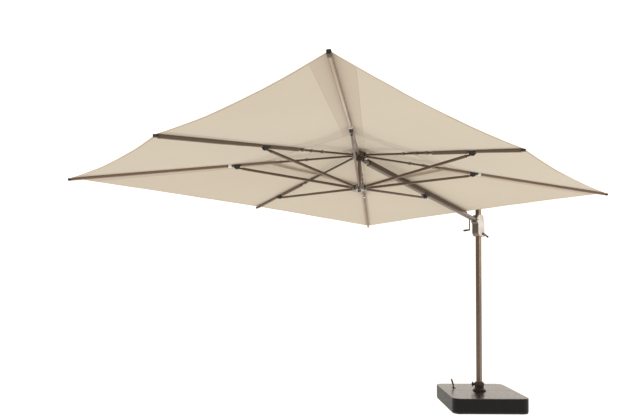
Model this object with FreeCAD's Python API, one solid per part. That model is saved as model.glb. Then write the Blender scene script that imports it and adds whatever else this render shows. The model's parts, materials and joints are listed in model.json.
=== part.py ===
"""Side-post patio umbrella with a weighted base, in millimetres.

+Z is up, the origin is on the floor under the mast axis, and the arm reaches towards -X.
Eight ribs leave the hub; the arm itself carries the one on the mast side.
"""
import FreeCAD
import Part
import math
import os

V = FreeCAD.Vector
Z = V(0, 0, 1)
Y = V(0, 1, 0)

# Driving dimensions
CANOPY_LENGTH = 4000.0
CANOPY_WIDTH = 3000.0
HUB_REACH = 2305.0
RIB_PIVOT_Z = 2640.0
STRUT_RING_Z = 2350.0
CORNER_TIP_Z = 2353.0
LONG_TIP_Z = 2366.0
SHORT_TIP_Z = 2370.0
PIVOT_RADIUS = 55.0
BRACKET_RADIUS = 1100.0
BRACKET_DROP = 20.0

BASE_WIDTH = 872.0
BASE_LENGTH = 1020.0
BASE_HEIGHT = 190.0
BASE_TURN = -47.5
BASE_CORNER = 88.0

MAST_X = 80.0
MAST_Y = 48.0
MAST_WALL = 3.0
MAST_TOP = 2560.0
MAST_BOTTOM = 212.0
COLLAR_TOP = 300.0

ARM_PIVOT = V(-95.0, 0, 2302.0)
ARM_HUB_PIVOT = V(67.0 - HUB_REACH, 0, 2609.6)
ARM_W = 50.0
ARM_H = 40.0
ARM_WALL = 2.5

RIB_W = 18.0
RIB_H = 16.0
RIB_WALL = 1.6
STRUT_W = 16.0
STRUT_H = 22.0
STRUT_WALL = 1.6
RUNNING_FIT = 0.05

FABRIC = 3.0
FABRIC_ABOVE_RIB = 12.5
GORE_GAP = 1.0
VENT_SHARE = 0.35
VENT_CAP_SHARE = 0.45
VENT_CAP_PEAK_Z = 2702.0
VENT_CAP_RISE = 26.0

HUB_AXIS = V(-HUB_REACH, 0, 0)
CORNER_AZIMUTH = math.degrees(math.atan2(CANOPY_WIDTH, CANOPY_LENGTH))
CORNER_RADIUS = math.hypot(CANOPY_LENGTH, CANOPY_WIDTH) / 2

# name: azimuth from the hub, radius and height of the rib's tip
RIBS = {
    "east": (0.0, CANOPY_LENGTH / 2, LONG_TIP_Z),
    "northeast": (CORNER_AZIMUTH, CORNER_RADIUS, CORNER_TIP_Z),
    "north": (90.0, CANOPY_WIDTH / 2, SHORT_TIP_Z),
    "northwest": (180 - CORNER_AZIMUTH, CORNER_RADIUS, CORNER_TIP_Z),
    "west": (180.0, CANOPY_LENGTH / 2, LONG_TIP_Z),
    "southwest": (180 + CORNER_AZIMUTH, CORNER_RADIUS, CORNER_TIP_Z),
    "south": (270.0, CANOPY_WIDTH / 2, SHORT_TIP_Z),
    "southeast": (360 - CORNER_AZIMUTH, CORNER_RADIUS, CORNER_TIP_Z),
}


# ---------------------------------------------------------------- helpers
def save(name, *solids):
    """Write one node, as one solid or a group of separate ones."""
    shape = solids[0] if len(solids) == 1 else Part.makeCompound(list(solids))
    shape.exportStep(f"parts/{name}.step")


def block(x, y, z):
    """A box between three (low, high) pairs."""
    corner = V(x[0], y[0], z[0])
    return Part.makeBox(x[1] - x[0], y[1] - y[0], z[1] - z[0], corner)


def rod(start, end, radius):
    """A round bar from one point to another."""
    run = end.sub(start)
    return Part.makeCylinder(radius, run.Length, start, run)


def ring(z0, z1, outer, inner):
    """An upright ring about the origin's axis."""
    body = Part.makeCylinder(outer, z1 - z0, V(0, 0, z0))
    return body.cut(Part.makeCylinder(inner, z1 - z0, V(0, 0, z0)))


def rounded_outline(width, height, radius):
    """A rounded rectangle in the XY plane, as a closed wire."""
    w = width / 2 - radius
    h = height / 2 - radius
    edges = []
    for k, (x, y) in enumerate(((w, h), (-w, h), (-w, -h), (w, -h))):
        centre = V(x, y, 0)
        edges.append(Part.makeCircle(radius, centre, Z, 90 * k, 90 * k + 90))
    joined = []
    for k, arc in enumerate(edges):
        following = edges[(k + 1) % 4]
        joined.append(arc)
        joined.append(Part.makeLine(arc.lastVertex().Point, following.firstVertex().Point))
    return Part.Wire(Part.__sortEdges__(joined))


def upright_bar(width_x, width_y, z0, z1, radius):
    """A rounded bar standing on z0."""
    bar = Part.Face(rounded_outline(width_x, width_y, radius)).extrude(V(0, 0, z1 - z0))
    bar.translate(V(0, 0, z0))
    return bar


def level_bar(x0, x1, width, height, radius):
    """A rounded bar along +X, with its middle line on the X axis."""
    bar = upright_bar(height, width, 0, x1 - x0, radius)
    bar.rotate(V(0, 0, 0), Y, 90)
    bar.translate(V(x0, 0, 0))
    return bar


def level_tube(x0, x1, width, height, radius, wall):
    """A rounded tube along +X with a plain rectangular bore."""
    bore = block(
        (x0, x1), (wall - width / 2, width / 2 - wall), (wall - height / 2, height / 2 - wall)
    )
    return level_bar(x0, x1, width, height, radius).cut(bore)


def placed(shape, origin, azimuth, droop):
    """A copy of a shape drawn along +X, drooped below level, then swung about +Z."""
    lean = FreeCAD.Rotation(Y, droop)
    swing = FreeCAD.Rotation(Z, azimuth)
    moved = shape.copy()
    moved.Placement = FreeCAD.Placement(origin, swing.multiply(lean))
    return moved


def swept_plate(points, y0, y1):
    """A flat plate drawn as an outline of (x, z) points, between two Y values."""
    corners = [V(x, y0, z) for x, z in points]
    outline = Part.makePolygon(corners + corners[:1])
    return Part.Face(outline).extrude(V(0, y1 - y0, 0))


def eye(x, z, radius, y0, y1):
    """A disc across Y."""
    return Part.makeCylinder(radius, y1 - y0, V(x, y0, z), Y)


def at_azimuth(radius, azimuth, z):
    """A point at a radius from the hub axis."""
    angle = math.radians(azimuth)
    return HUB_AXIS + V(radius * math.cos(angle), radius * math.sin(angle), z)


# ------------------------------------------------------------------- base
def base_placed(shape):
    """Turn a shape drawn square to the axes to the base's own heading."""
    turned = shape.copy()
    turned.Placement = FreeCAD.Placement(V(0, 0, 0), FreeCAD.Rotation(Z, BASE_TURN))
    return turned


COVER_BOTTOM = 30.0
COVER_WALL = 4.0
TRAY_WIDTH = BASE_WIDTH - 2 * COVER_WALL - 1.0
TRAY_LENGTH = BASE_LENGTH - 2 * COVER_WALL - 1.0
TRAY_BOTTOM = 12.0
TRAY_TOP = 60.0
SPINDLE_RADIUS = 20.0
PEDAL_AT = V(-266.0, 195.0, 0)
PEDAL_SLOT = V(30.0, 130.0, 0)
PEDAL_GRIP = 10.5
SEAM = 3.0
SEAM_DEPTH = 1.2
SEAM_START = 88.0


def edge_rounded(bar, top, radius):
    """Round the edges round the top of an upright bar."""
    edges = [e for e in bar.Edges if all(abs(v.Z - top) < 0.01 for v in e.Vertexes)]
    return bar.makeFillet(radius, edges)


def base_cover():
    """The moulded cover, with a seam line each side of the mast where two shells meet."""
    inner_width = BASE_WIDTH - 2 * COVER_WALL
    inner_length = BASE_LENGTH - 2 * COVER_WALL
    inner_corner = BASE_CORNER - COVER_WALL
    cover = upright_bar(BASE_WIDTH, BASE_LENGTH, COVER_BOTTOM, BASE_HEIGHT, BASE_CORNER)
    cover = edge_rounded(cover, BASE_HEIGHT, 9.0)
    top = BASE_HEIGHT - COVER_WALL
    cover = cover.cut(upright_bar(inner_width, inner_length, COVER_BOTTOM, top, inner_corner))
    for side in (-1, 1):
        along = sorted((side * SEAM_START, side * (BASE_WIDTH / 2 - 12.0)))
        seam = block(along, (-SEAM / 2, SEAM / 2), (BASE_HEIGHT - SEAM_DEPTH, BASE_HEIGHT))
        cover = cover.cut(seam)
    cover = cover.cut(Part.makeCylinder(50.0, 40.0, V(0, 0, BASE_HEIGHT - 20)))
    slot = block(
        (PEDAL_AT.x - PEDAL_SLOT.x / 2, PEDAL_AT.x + PEDAL_SLOT.x / 2),
        (PEDAL_AT.y - PEDAL_SLOT.y / 2, PEDAL_AT.y + PEDAL_SLOT.y / 2),
        (top - 1, BASE_HEIGHT + 1),
    )
    return cover.cut(slot)


def base_tray():
    tray = upright_bar(TRAY_WIDTH, TRAY_LENGTH, TRAY_BOTTOM, TRAY_TOP, BASE_CORNER - 5)
    inner_width = TRAY_WIDTH - 2 * COVER_WALL
    inner_length = TRAY_LENGTH - 2 * COVER_WALL
    floor = TRAY_BOTTOM + COVER_WALL
    return tray.cut(upright_bar(inner_width, inner_length, floor, TRAY_TOP, BASE_CORNER - 9))


BEAM = 60.0
BEAM_TOP = 56.0
SLAB_GAP = BEAM / 2 + 5.0
SLAB_X = TRAY_WIDTH / 2 - COVER_WALL - 6.0
SLAB_Y = TRAY_LENGTH / 2 - COVER_WALL - 6.0
SLAB_TOP = 120.0


def base_frame():
    """Two crossed beams and the tower that passes through the cover under the mast."""
    reach_x = TRAY_WIDTH / 2 - COVER_WALL
    reach_y = TRAY_LENGTH / 2 - COVER_WALL
    low = TRAY_BOTTOM + COVER_WALL
    under_cover = BASE_HEIGHT - COVER_WALL
    beams = block((-reach_x, reach_x), (-BEAM / 2, BEAM / 2), (low, BEAM_TOP))
    beams = beams.fuse(block((-BEAM / 2, BEAM / 2), (-reach_y, reach_y), (low, BEAM_TOP)))
    tower = Part.makeCylinder(70.0, under_cover - BEAM_TOP, V(0, 0, BEAM_TOP))
    flange_seat = Part.makeCylinder(49.0, MAST_BOTTOM - under_cover, V(0, 0, under_cover))
    return beams.fuse([tower, flange_seat]).removeSplitter()


def ballast_slabs():
    slabs = []
    low = TRAY_BOTTOM + COVER_WALL
    near = SLAB_GAP + 36.0
    for sx, sy in ((1, 1), (-1, 1), (-1, -1), (1, -1)):
        points = [
            (near, SLAB_GAP), (SLAB_X, SLAB_GAP), (SLAB_X, SLAB_Y - 60),
            (SLAB_X - 60, SLAB_Y), (SLAB_GAP, SLAB_Y), (SLAB_GAP, near),
        ]
        corners = [V(sx * x, sy * y, low) for x, y in points]
        slab = Part.Face(Part.makePolygon(corners + corners[:1])).extrude(
            V(0, 0, SLAB_TOP - low)
        )
        slabs.append(slab)
    return slabs


def base_feet():
    feet = []
    for sx in (1, -1):
        for sy in (1, -1):
            at = V(sx * (BASE_WIDTH / 2 - 85.0), sy * (BASE_LENGTH / 2 - 85.0), 0)
            feet.append(Part.makeCone(34.0, 38.0, TRAY_BOTTOM, at))
    return feet


def foot_pedal():
    """A slim lever through the cover, on a cross pin, leaning back at the top."""
    x0 = PEDAL_AT.x
    pivot = (PEDAL_AT.y, BASE_HEIGHT - 25.0)
    lever = Part.makeCylinder(11.0, 20.0, V(x0 - 10, pivot[0], pivot[1]), V(1, 0, 0))
    foot = V(x0, pivot[0], pivot[1])
    neck = V(x0 - 5.0, pivot[0] + 13.0, BASE_HEIGHT + 38.0)
    toe = V(x0 - 18.0, pivot[0] + 44.0, BASE_HEIGHT + 98.0)
    for start, end, radius in ((foot, neck, 7.0), (neck, toe, PEDAL_GRIP)):
        lever = lever.fuse(rod(start, end, radius))
    lever = lever.fuse([Part.makeSphere(PEDAL_GRIP, neck), Part.makeSphere(PEDAL_GRIP, toe)])
    bore = Part.makeCylinder(5.0 + RUNNING_FIT, 24.0, V(x0 - 12, *pivot), V(1, 0, 0))
    return lever.cut(bore)


def pedal_bracket():
    """Two cheeks under the cover that hold the pedal's pin, and the pin."""
    x0 = PEDAL_AT.x
    y0 = PEDAL_AT.y
    z0 = BASE_HEIGHT - 25.0
    top = BASE_HEIGHT - COVER_WALL
    solids = []
    for side in (-1, 1):
        inner = x0 + side * 11.0
        outer = x0 + side * 15.0
        cheek = block(sorted((inner, outer)), (y0 - 20, y0 + 20), (z0 - 20, top))
        cheek = cheek.cut(Part.makeCylinder(5.0, 40.0, V(x0 - 20, y0, z0), V(1, 0, 0)))
        solids.append(cheek)
    solids.append(Part.makeCylinder(5.0, 32.0, V(x0 - 16, y0, z0), V(1, 0, 0)))
    return solids


FLANGE_TOP = BASE_HEIGHT + 14.0
MAST_FOOT_RADIUS = 49.0
BOLT_CIRCLE = 69.0
KNOB_HEADING = 135.0
KNOB_Z = 272.0


def mast_collar():
    """The bolted flange and the round collar that the mast's foot turns in."""
    collar = Part.makeCylinder(80.0, 14.0, V(0, 0, BASE_HEIGHT))
    collar = collar.fuse(Part.makeCone(66.0, 55.0, 26.0, V(0, 0, FLANGE_TOP)))
    collar = collar.fuse(Part.makeCylinder(55.0, COLLAR_TOP - FLANGE_TOP - 12, V(0, 0, FLANGE_TOP)))
    collar = collar.fuse(Part.makeCylinder(61.0, 30.0, V(0, 0, COLLAR_TOP - 42)))
    collar = collar.cut(Part.makeCylinder(MAST_FOOT_RADIUS + RUNNING_FIT, 200.0, V(0, 0, 190)))
    for k in range(6):
        angle = math.radians(60 * k + 30)
        at = V(BOLT_CIRCLE * math.cos(angle), BOLT_CIRCLE * math.sin(angle), BASE_HEIGHT)
        collar = collar.cut(Part.makeCylinder(4.0, 20.0, at))
        collar = collar.cut(Part.makeCylinder(8.5, 60.0, at + V(0, 0, 14)))
    angle = math.radians(KNOB_HEADING)
    out = V(math.cos(angle), math.sin(angle), 0)
    boss = rod(out * 52.0 + V(0, 0, KNOB_Z), out * 69.0 + V(0, 0, KNOB_Z), 13.0)
    boss = boss.cut(Part.makeCylinder(MAST_FOOT_RADIUS + RUNNING_FIT, 200.0, V(0, 0, 190)))
    bore = rod(out * 40.0 + V(0, 0, KNOB_Z), out * 70.0 + V(0, 0, KNOB_Z), 5.0 + RUNNING_FIT)
    return collar.fuse(boss).cut(bore).removeSplitter()


def flange_bolts():
    bolts = []
    for k in range(6):
        angle = math.radians(60 * k + 30)
        at = V(BOLT_CIRCLE * math.cos(angle), BOLT_CIRCLE * math.sin(angle), 0)
        shank = Part.makeCylinder(4.0, 14.0, at + V(0, 0, BASE_HEIGHT))
        head = Part.makeCylinder(7.5, 6.0, at + V(0, 0, FLANGE_TOP))
        bolts.append(shank.fuse(head).removeSplitter())
    return bolts


def collar_knob():
    angle = math.radians(KNOB_HEADING)
    out = V(math.cos(angle), math.sin(angle), 0)
    level = V(0, 0, KNOB_Z)
    stem = rod(out * (MAST_FOOT_RADIUS + 1) + level, out * 76.0 + level, 5.0)
    grip = rod(out * 70.0 + level, out * 92.0 + level, 16.0)
    tab = block((74.0, 88.0), (-4.0, 4.0), (-30.0, 30.0))
    tab.Placement = FreeCAD.Placement(level, FreeCAD.Rotation(Z, KNOB_HEADING))
    return stem.fuse([grip, tab]).removeSplitter()


# ------------------------------------------------------------------- mast
MAST_CORNER = 14.0
BUSH_SPANS = ((330.0, 370.0), (430.0, 470.0))


def mast_core(z0, z1):
    """The room inside the mast's walls between two heights."""
    wall = 2 * MAST_WALL
    return upright_bar(MAST_X - wall, MAST_Y - wall, z0, z1, MAST_CORNER - MAST_WALL)


def mast_tube():
    return upright_bar(MAST_X, MAST_Y, MAST_BOTTOM, MAST_TOP, MAST_CORNER).cut(
        mast_core(MAST_BOTTOM, MAST_TOP)
    )


def mast_foot():
    """The round casting clamped round the mast's bottom end."""
    foot = Part.makeCylinder(MAST_FOOT_RADIUS, COLLAR_TOP - MAST_BOTTOM, V(0, 0, MAST_BOTTOM))
    return foot.cut(upright_bar(MAST_X, MAST_Y, MAST_BOTTOM, COLLAR_TOP, MAST_CORNER))


def mast_spindle():
    top = BUSH_SPANS[-1][1] + 10
    return ring(MAST_BOTTOM, top, SPINDLE_RADIUS, SPINDLE_RADIUS - 6)


def mast_bushes():
    bushes = []
    for z0, z1 in BUSH_SPANS:
        bore = Part.makeCylinder(SPINDLE_RADIUS + RUNNING_FIT, z1 - z0, V(0, 0, z0))
        bushes.append(mast_core(z0, z1).cut(bore))
    return bushes


def mast_cap():
    cap = upright_bar(MAST_X + 6, MAST_Y + 6, MAST_TOP - 22, MAST_TOP + 10, MAST_CORNER + 3)
    cap = edge_rounded(cap, MAST_TOP + 10, 6.0)
    return cap.cut(upright_bar(MAST_X, MAST_Y, MAST_TOP - 22, MAST_TOP, MAST_CORNER))


# --------------------------------------------------------------- carriage
HOUSING_X = 85.0
HOUSING_Y = 42.0
HOUSING_LOW = 2106.0
HOUSING_SHOULDER = 2292.0
HOUSING_TOP = 2370.0
HOUSING_WALL = 4.0
LINER = 3.0
LINER_GAP = 0.1
ARM_EYE = 19.0
CRANK_AT = V(-38.0, 0, 2332.0)
LEVER_PIVOT = V(30.0, 0, 2138.0)


def carriage_shell():
    """The housing that slides on the mast, with cheeks for the arm and a grab handle."""
    side = [
        (-HOUSING_X, HOUSING_LOW + 34), (-HOUSING_X + 30, HOUSING_LOW),
        (HOUSING_X - 8, HOUSING_LOW), (HOUSING_X, HOUSING_LOW + 8),
        (HOUSING_X, HOUSING_SHOULDER - 40), (54, HOUSING_TOP),
        (-58, HOUSING_TOP), (-HOUSING_X - 14, HOUSING_SHOULDER + 40),
        (-HOUSING_X - 30, HOUSING_SHOULDER + 12), (-HOUSING_X - 24, HOUSING_SHOULDER - 16),
        (-HOUSING_X, HOUSING_SHOULDER - 40),
    ]
    body = swept_plate(side, -HOUSING_Y, HOUSING_Y)
    long_edges = [
        e for e in body.Edges
        if len({round(v.Y) for v in e.Vertexes}) == 1
    ]
    body = body.makeFillet(7.0, long_edges)
    passage = upright_bar(
        MAST_X + 2 * LINER, MAST_Y + 2 * LINER, HOUSING_LOW, HOUSING_TOP, MAST_CORNER + LINER
    )
    body = body.cut(passage)
    wall = HOUSING_WALL
    inside_y = (wall - HOUSING_Y, HOUSING_Y - wall)
    near = MAST_X / 2 + LINER + wall
    front = block((wall - HOUSING_X, -near), inside_y, (HOUSING_LOW + 40, HOUSING_SHOULDER - 44))
    rear = block((near, HOUSING_X - wall), inside_y, (HOUSING_LOW + 12, HOUSING_SHOULDER - 48))
    gearbox = block((-66, -10), (MAST_Y / 2 + LINER, HOUSING_Y - wall), (2304, 2360))
    arm_slot = block(
        (-150, -MAST_X / 2 - LINER), (-ARM_W / 2 - 1.0, ARM_W / 2 + 1.0),
        (HOUSING_SHOULDER - 16, HOUSING_TOP + 10),
    )
    eye_room = eye(ARM_PIVOT.x, ARM_PIVOT.z, ARM_EYE + 6.0, -ARM_W / 2 - 1.0, ARM_W / 2 + 1.0)
    body = body.cut([front, rear, gearbox, arm_slot, eye_room])
    pin_bore = eye(ARM_PIVOT.x, ARM_PIVOT.z, 8.0, -60, 60)
    crank_bore = eye(CRANK_AT.x, CRANK_AT.z, 8.0 + RUNNING_FIT, HOUSING_Y - 10, HOUSING_Y + 10)
    lever_bore = eye(LEVER_PIVOT.x, LEVER_PIVOT.z, 5.0, -HOUSING_Y - 1, -HOUSING_Y + 9)
    body = body.cut([pin_bore, crank_bore, lever_bore])
    grip = [V(HOUSING_X - 6, 0, 2262), V(HOUSING_X + 44, 0, 2252), V(HOUSING_X + 44, 0, 2168)]
    handle = rod(grip[0], grip[1], 8.0).fuse(
        [
            Part.makeSphere(8.0, grip[1]), rod(grip[1], grip[2], 8.0),
            Part.makeSphere(8.0, grip[2]), rod(grip[2], V(HOUSING_X - 6, 0, 2158), 8.0),
        ]
    )
    handle = handle.cut(block((0, HOUSING_X - 2), (-20, 20), (2100, 2300)))
    return body.fuse(handle).removeSplitter()


def carriage_liners():
    liners = []
    for z0, z1 in ((HOUSING_LOW, HOUSING_LOW + 50), (HOUSING_SHOULDER - 70, HOUSING_SHOULDER - 20)):
        outer = upright_bar(MAST_X + 2 * LINER, MAST_Y + 2 * LINER, z0, z1, MAST_CORNER + LINER)
        gap = 2 * LINER_GAP
        inner = upright_bar(MAST_X + gap, MAST_Y + gap, z0, z1, MAST_CORNER + LINER_GAP)
        liners.append(outer.cut(inner))
    return liners


def carriage_pins():
    arm_pin = eye(ARM_PIVOT.x, ARM_PIVOT.z, 8.0, -HOUSING_Y - 3, HOUSING_Y + 3)
    lever_pin = eye(LEVER_PIVOT.x, LEVER_PIVOT.z, 5.0, -HOUSING_Y - 17, -HOUSING_Y + 9)
    return arm_pin, lever_pin


CRANK_ELBOW_Y = 98.0
CRANK_DROP = 138.0
CRANK_KNOB_OUT = 82.0
CRANK_BAR = 7.0


def crank_shaft():
    """Shaft with its winding drum in the gearbox, and the crank arm outside."""
    x, z = CRANK_AT.x, CRANK_AT.z
    drum_low = MAST_Y / 2 + LINER + 1.0
    drum = eye(x, z, 22.0, drum_low, HOUSING_Y - HOUSING_WALL - 0.5)
    shaft = eye(x, z, 8.0, drum_low, HOUSING_Y + 12)
    outer = rod(V(x, HOUSING_Y + 10, z), V(x, CRANK_ELBOW_Y, z), CRANK_BAR)
    hanging = rod(V(x, CRANK_ELBOW_Y, z), V(x, CRANK_ELBOW_Y, z - CRANK_DROP), CRANK_BAR)
    spigot_end = CRANK_ELBOW_Y + CRANK_KNOB_OUT - 4
    spigot = eye(x, z - CRANK_DROP, 4.0, CRANK_ELBOW_Y, spigot_end)
    collar = eye(x, z, 14.0, HOUSING_Y + 0.5, HOUSING_Y + 10)
    elbow = Part.makeSphere(CRANK_BAR, V(x, CRANK_ELBOW_Y, z))
    heel = Part.makeSphere(CRANK_BAR, V(x, CRANK_ELBOW_Y, z - CRANK_DROP))
    return drum.fuse([shaft, outer, hanging, spigot, collar, elbow, heel]).removeSplitter()


def crank_knob():
    """A turned grip that spins on the crank's spigot."""
    y0 = CRANK_ELBOW_Y + CRANK_BAR + 1.0
    y1 = CRANK_ELBOW_Y + CRANK_KNOB_OUT
    x, z = CRANK_AT.x, CRANK_AT.z - CRANK_DROP
    waist = y0 + 30.0
    grip = Part.makeCone(10.0, 12.5, waist - y0, V(x, y0, z), Y)
    grip = grip.fuse(Part.makeCone(12.5, 12.0, y1 - waist, V(x, waist, z), Y))
    end = [e for e in grip.Edges if all(abs(v.Y - y1) < 0.01 for v in e.Vertexes)]
    grip = grip.makeFillet(6.0, end)
    return grip.cut(eye(x, z, 4.0 + RUNNING_FIT, y0 - 1, y1 - 3.5))


def brake_lever():
    """The lever on the housing's side that frees the carriage on the mast."""
    y0 = -HOUSING_Y - 13.0
    y1 = -HOUSING_Y - 1.0
    x, z = LEVER_PIVOT.x, LEVER_PIVOT.z
    side = [
        (x - 10, z + 12), (x + 12, z + 12), (x + 84, z - 10),
        (x + 120, z - 22), (x + 116, z - 36), (x + 80, z - 28), (x - 8, z - 12),
    ]
    lever = swept_plate(side, y0, y1)
    lever = lever.fuse(eye(x + 112, z - 27, 13.0, y0 - 4, y1))
    return lever.cut(eye(x, z, 5.0 + RUNNING_FIT, y0 - 1, y1 + 1)).removeSplitter()


# -------------------------------------------------------------------- arm
ARM_RUN = ARM_HUB_PIVOT.sub(ARM_PIVOT)
ARM_LENGTH = ARM_RUN.Length
ARM_RISE = math.degrees(math.atan2(ARM_RUN.z, -ARM_RUN.x))
ARM_CORNER = 9.0
ARM_TUBE_START = 46.0
ARM_TUBE_END = ARM_LENGTH - 72.0
ARM_PLUG = 70.0
FORK_IN = 8.5
FORK_OUT = 14.5
FORK_EYE = 12.0
HUB_PIN = 6.0


def on_arm(shape):
    """Move a shape drawn along +X from the arm's lower pivot to its place."""
    return placed(shape, ARM_PIVOT, 180.0, -ARM_RISE)


def arm_core(x0, x1):
    """The room inside the arm's walls between two distances from its lower pivot."""
    wall = 2 * ARM_WALL
    return level_bar(x0, x1, ARM_W - wall, ARM_H - wall, ARM_CORNER - ARM_WALL)


def arm_tube():
    outside = level_bar(ARM_TUBE_START, ARM_TUBE_END, ARM_W, ARM_H, ARM_CORNER)
    return on_arm(outside.cut(arm_core(ARM_TUBE_START, ARM_TUBE_END)))


def arm_knuckles():
    """The castings plugged into the arm's ends: a lower eye and an upper fork."""
    lower = eye(0, 0, ARM_EYE, -ARM_W / 2 + 0.3, ARM_W / 2 - 0.3)
    cheek = block((0, ARM_TUBE_START), (-ARM_W / 2 + 0.3, ARM_W / 2 - 0.3), (-17.0, 17.0))
    plug = arm_core(ARM_TUBE_START, ARM_TUBE_START + ARM_PLUG)
    lower = lower.fuse([cheek, plug]).cut(eye(0, 0, 8.0 + RUNNING_FIT, -60, 60))
    upper = arm_core(ARM_TUBE_END - ARM_PLUG, ARM_TUBE_END)
    throat = ARM_LENGTH - 34.0
    neck = block((ARM_TUBE_END, throat), (-FORK_OUT, FORK_OUT), (-FORK_EYE, FORK_EYE))
    upper = upper.fuse(neck)
    for side in (-1, 1):
        span = sorted((side * FORK_IN, side * FORK_OUT))
        upper = upper.fuse(block((throat, ARM_LENGTH), span, (-FORK_EYE, FORK_EYE)))
        upper = upper.fuse(eye(ARM_LENGTH, 0, FORK_EYE, *span))
    upper = upper.cut(eye(ARM_LENGTH, 0, HUB_PIN + RUNNING_FIT, -60, 60))
    return on_arm(lower.removeSplitter()), on_arm(upper.removeSplitter())


# -------------------------------------------------------------------- hub
HUB_RADIUS = 66.0
HUB_LOW = RIB_PIVOT_Z - 12.0
HUB_HIGH = RIB_PIVOT_Z + 26.0
HUB_BOSS_LOW = RIB_PIVOT_Z - 46.0
POST_RADIUS = 15.0
TONGUE = 10.0
TONGUE_SLOT = 12.0
RIB_PIN = 4.0
RUNNER_RADIUS = 66.0
RUNNER_HALF = 23.0
RUNNER_BORE = 15.6
STRUT_SLOT = 18.0


def radial_cut(azimuth, inner, outer, width, z0, z1):
    """A radial slot about the hub axis."""
    slot = block((inner, outer), (-width / 2, width / 2), (z0, z1))
    slot.Placement = FreeCAD.Placement(HUB_AXIS, FreeCAD.Rotation(Z, azimuth))
    return slot


def tangent_pin(azimuth, radius, z, pin_radius, half):
    """A pin across a radial slot."""
    centre = at_azimuth(radius, azimuth, z)
    angle = math.radians(azimuth)
    tangent = V(-math.sin(angle), math.cos(angle), 0)
    return rod(centre - tangent * half, centre + tangent * half, pin_radius)


def upper_hub():
    hub = Part.makeCylinder(HUB_RADIUS, HUB_HIGH - HUB_LOW, HUB_AXIS + Z * HUB_LOW)
    hub = hub.fuse(Part.makeCylinder(28.0, HUB_LOW - HUB_BOSS_LOW, HUB_AXIS + Z * HUB_BOSS_LOW))
    hub = hub.fuse(Part.makeCone(40.0, 26.0, 16.0, HUB_AXIS + Z * HUB_HIGH))
    pivot = ARM_HUB_PIVOT
    lug = block((20 - HUB_REACH, pivot.x), (-8.0, 8.0), (pivot.z - 12, HUB_LOW + 4))
    hub = hub.fuse([lug, eye(pivot.x, pivot.z, 12.0, -8.0, 8.0)])
    cuts = [eye(pivot.x, pivot.z, HUB_PIN, -20, 20)]
    cuts.append(Part.makeCylinder(POST_RADIUS, 60.0, HUB_AXIS + Z * HUB_BOSS_LOW))
    for azimuth, _, _ in list(RIBS.values())[1:]:
        cuts.append(radial_cut(azimuth, 40.0, 90.0, TONGUE_SLOT, HUB_LOW - 1, HUB_HIGH + 1))
        cuts.append(tangent_pin(azimuth, PIVOT_RADIUS, RIB_PIVOT_Z, RIB_PIN, 12.0))
    return hub.cut(cuts).removeSplitter()


def hub_pins():
    """The seven rib pins and the one that joins the arm."""
    pins = [
        tangent_pin(azimuth, PIVOT_RADIUS, RIB_PIVOT_Z, RIB_PIN, 12.0)
        for azimuth, _, _ in list(RIBS.values())[1:]
    ]
    pivot = ARM_HUB_PIVOT
    pins.append(eye(pivot.x, pivot.z, HUB_PIN, -FORK_OUT - 1.5, FORK_OUT + 1.5))
    return pins


def hub_post():
    low = STRUT_RING_Z - RUNNER_HALF - 16
    return Part.makeCylinder(POST_RADIUS, HUB_BOSS_LOW + 60 - low, HUB_AXIS + Z * low)


def lower_hub():
    """The runner: eight slots take the struts, and a skirt closes its foot."""
    low = STRUT_RING_Z - RUNNER_HALF
    hub = Part.makeCylinder(RUNNER_RADIUS, 2 * RUNNER_HALF, HUB_AXIS + Z * low)
    bore = Part.makeCylinder(RUNNER_BORE, 2 * RUNNER_HALF, HUB_AXIS + Z * low)
    cuts = [bore]
    for azimuth, _, _ in RIBS.values():
        cuts.append(radial_cut(azimuth, 44.0, 90.0, STRUT_SLOT, low - 1, low + 2 * RUNNER_HALF + 1))
    return hub.cut(cuts)


# ------------------------------------------------------- ribs and struts
def rib_droop(name):
    """How far below level a rib lies, in degrees."""
    _, radius, tip_z = RIBS[name]
    return math.degrees(math.atan2(RIB_PIVOT_Z - tip_z, radius - PIVOT_RADIUS))


def rib_length(name):
    _, radius, tip_z = RIBS[name]
    return math.hypot(radius - PIVOT_RADIUS, RIB_PIVOT_Z - tip_z)


def on_rib(name, shape):
    """Move a shape drawn along +X from the rib's pivot to its place."""
    azimuth = RIBS[name][0]
    return placed(shape, at_azimuth(PIVOT_RADIUS, azimuth, RIB_PIVOT_Z), azimuth, rib_droop(name))


RIB_START = 32.0
EAST_RIB_START = 70.0
TIP_CAP = 22.0


def rib_tube(name):
    start = EAST_RIB_START if name == "east" else RIB_START
    tube = level_tube(start, rib_length(name) - 4, RIB_W, RIB_H, 4.0, RIB_WALL)
    return on_rib(name, tube)


def tip_cap(name):
    """The moulded cap at a rib's outer end, with a lip that holds the canopy."""
    end = rib_length(name)
    cap = level_bar(end - TIP_CAP, end, RIB_W + 3.2, RIB_H + 3.2, 4.0)
    return cap.cut(level_bar(end - TIP_CAP, end - 4, RIB_W, RIB_H, 4.0))


def bracket_along(name):
    """Distance from the rib's pivot to its strut pin, measured along the rib."""
    droop = math.radians(rib_droop(name))
    level = BRACKET_RADIUS - PIVOT_RADIUS
    return (level + BRACKET_DROP * math.sin(droop)) / math.cos(droop)


def rib_bracket(name):
    """Two cheeks on the rib's sides, and the pin that carries the strut."""
    x = bracket_along(name)
    half = RIB_W / 2
    solids = []
    pin_bore = eye(x, -BRACKET_DROP, RIB_PIN, -30, 30)
    for side in (-1, 1):
        span = sorted((side * half, side * (half + 3.0)))
        cheek = swept_plate(
            [(x - 30, 6), (x + 30, 6), (x + 30, -8), (x + 11, -29), (x - 11, -29), (x - 30, -8)],
            *span,
        )
        solids.append(cheek.cut(pin_bore))
    solids.append(eye(x, -BRACKET_DROP, RIB_PIN, -half - 5, half + 5))
    return solids


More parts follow.
